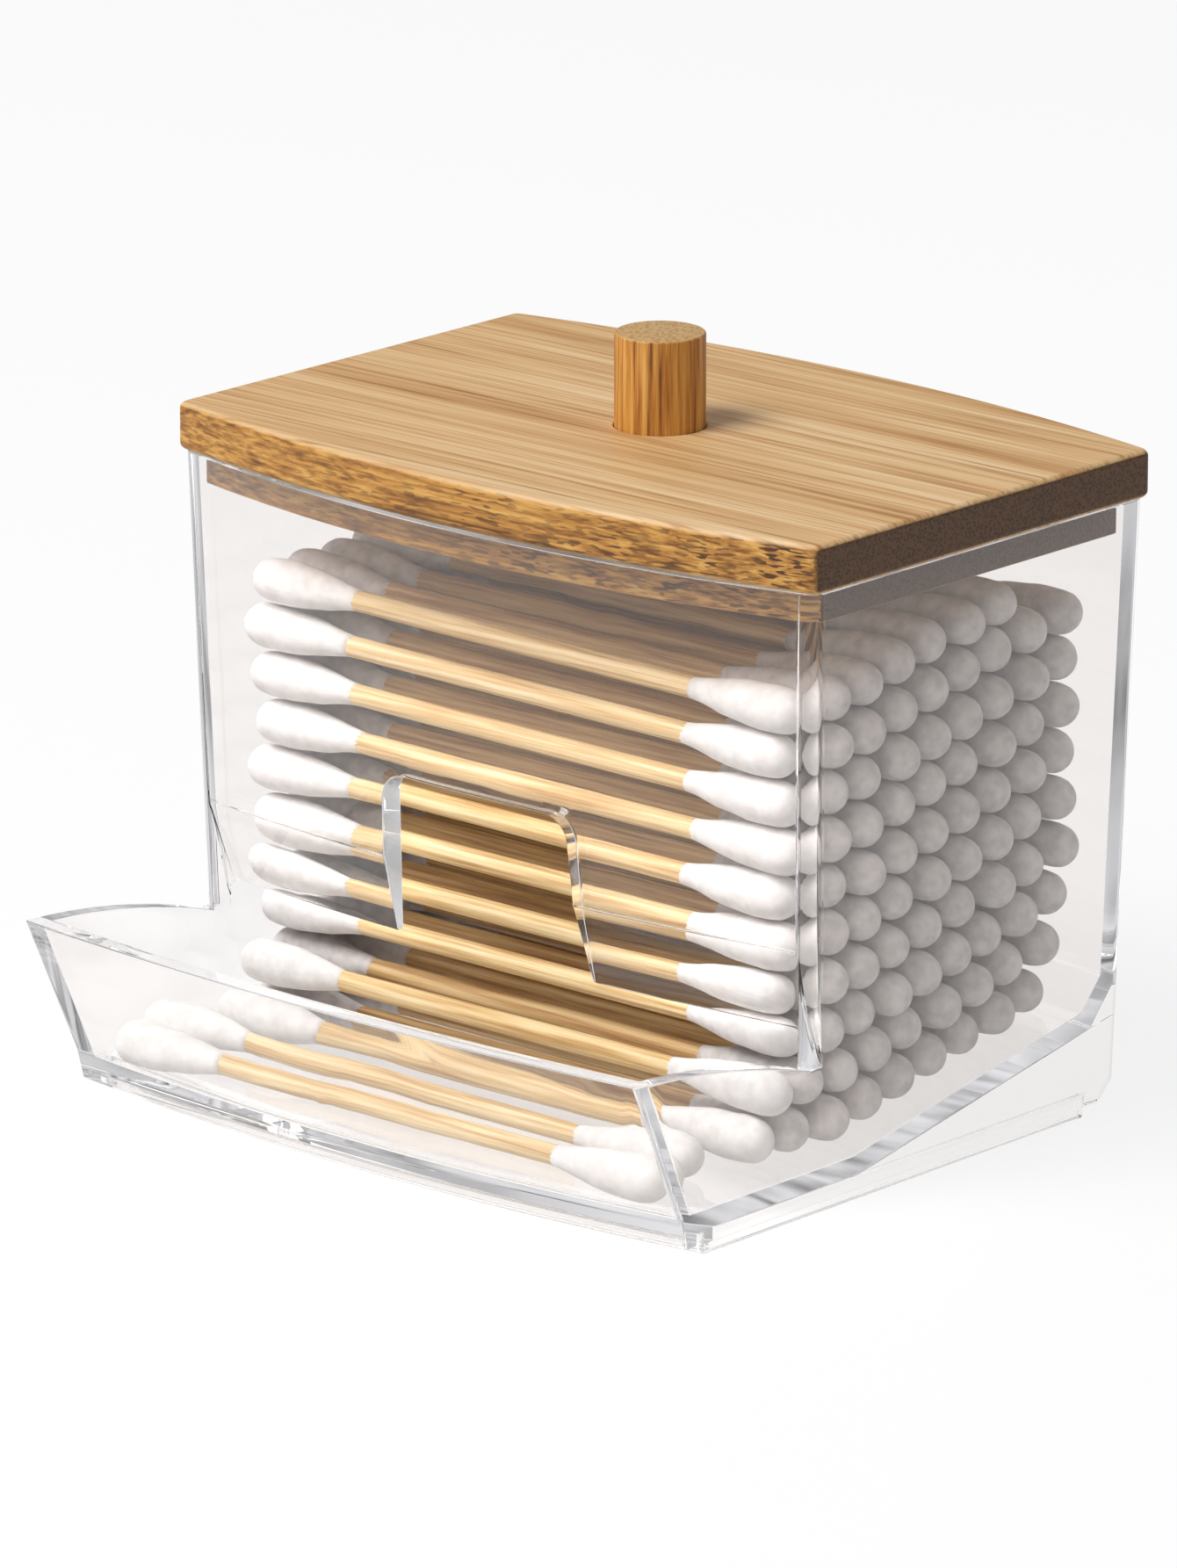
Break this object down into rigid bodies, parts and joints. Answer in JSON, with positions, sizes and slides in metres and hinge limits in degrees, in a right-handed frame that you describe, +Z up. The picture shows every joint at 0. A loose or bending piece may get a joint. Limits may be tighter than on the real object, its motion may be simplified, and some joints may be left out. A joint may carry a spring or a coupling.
{
  "type": "cotton swab dispenser box with lid",
  "caption": "Clear box with bowed walls, a notched front over a flared tray, and a lift-off bamboo lid with a dowel knob, filled with double-ended cotton swabs.",
  "frame": {"origin": "centre of the bounding box on the surface that the dispenser stands on", "axes": "+X to the right along the long front, -Y towards the tray, +Z up"},
  "size_m": [0.0888, 0.0858, 0.0817],
  "materials": {
    "clear_plastic": "clear, polished",
    "bamboo_board": "satin",
    "bamboo_dowel": "satin",
    "swab_stick": "bare",
    "cotton": "soft, fuzzy"
  },
  "bodies": {
    "housing": {"dispenser_body": "clear_plastic", "swab_column_01_sticks": "swab_stick", "swab_column_02_sticks": "swab_stick", "swab_column_03_sticks": "swab_stick", "swab_column_04_sticks": "swab_stick", "swab_column_05_sticks": "swab_stick", "swab_column_06_sticks": "swab_stick", "swab_column_07_sticks": "swab_stick", "swab_column_08_sticks": "swab_stick", "swab_column_09_sticks": "swab_stick", "tray_swab_sticks": "swab_stick", "swab_column_01_buds": "cotton", "swab_column_02_buds": "cotton", "swab_column_03_buds": "cotton", "swab_column_04_buds": "cotton", "swab_column_05_buds": "cotton", "swab_column_06_buds": "cotton", "swab_column_07_buds": "cotton", "swab_column_08_buds": "cotton", "swab_column_09_buds": "cotton", "tray_swab_buds": "cotton"},
    "lid": {"lid_panel": "bamboo_board", "lid_knob": "bamboo_dowel"}
  },
  "joints": [
    {"name": "lid_lift", "type": "slide", "parent": "housing", "child": "lid", "axis": [0, 0, 1], "range_m": [0, 0.04]}
  ]
}
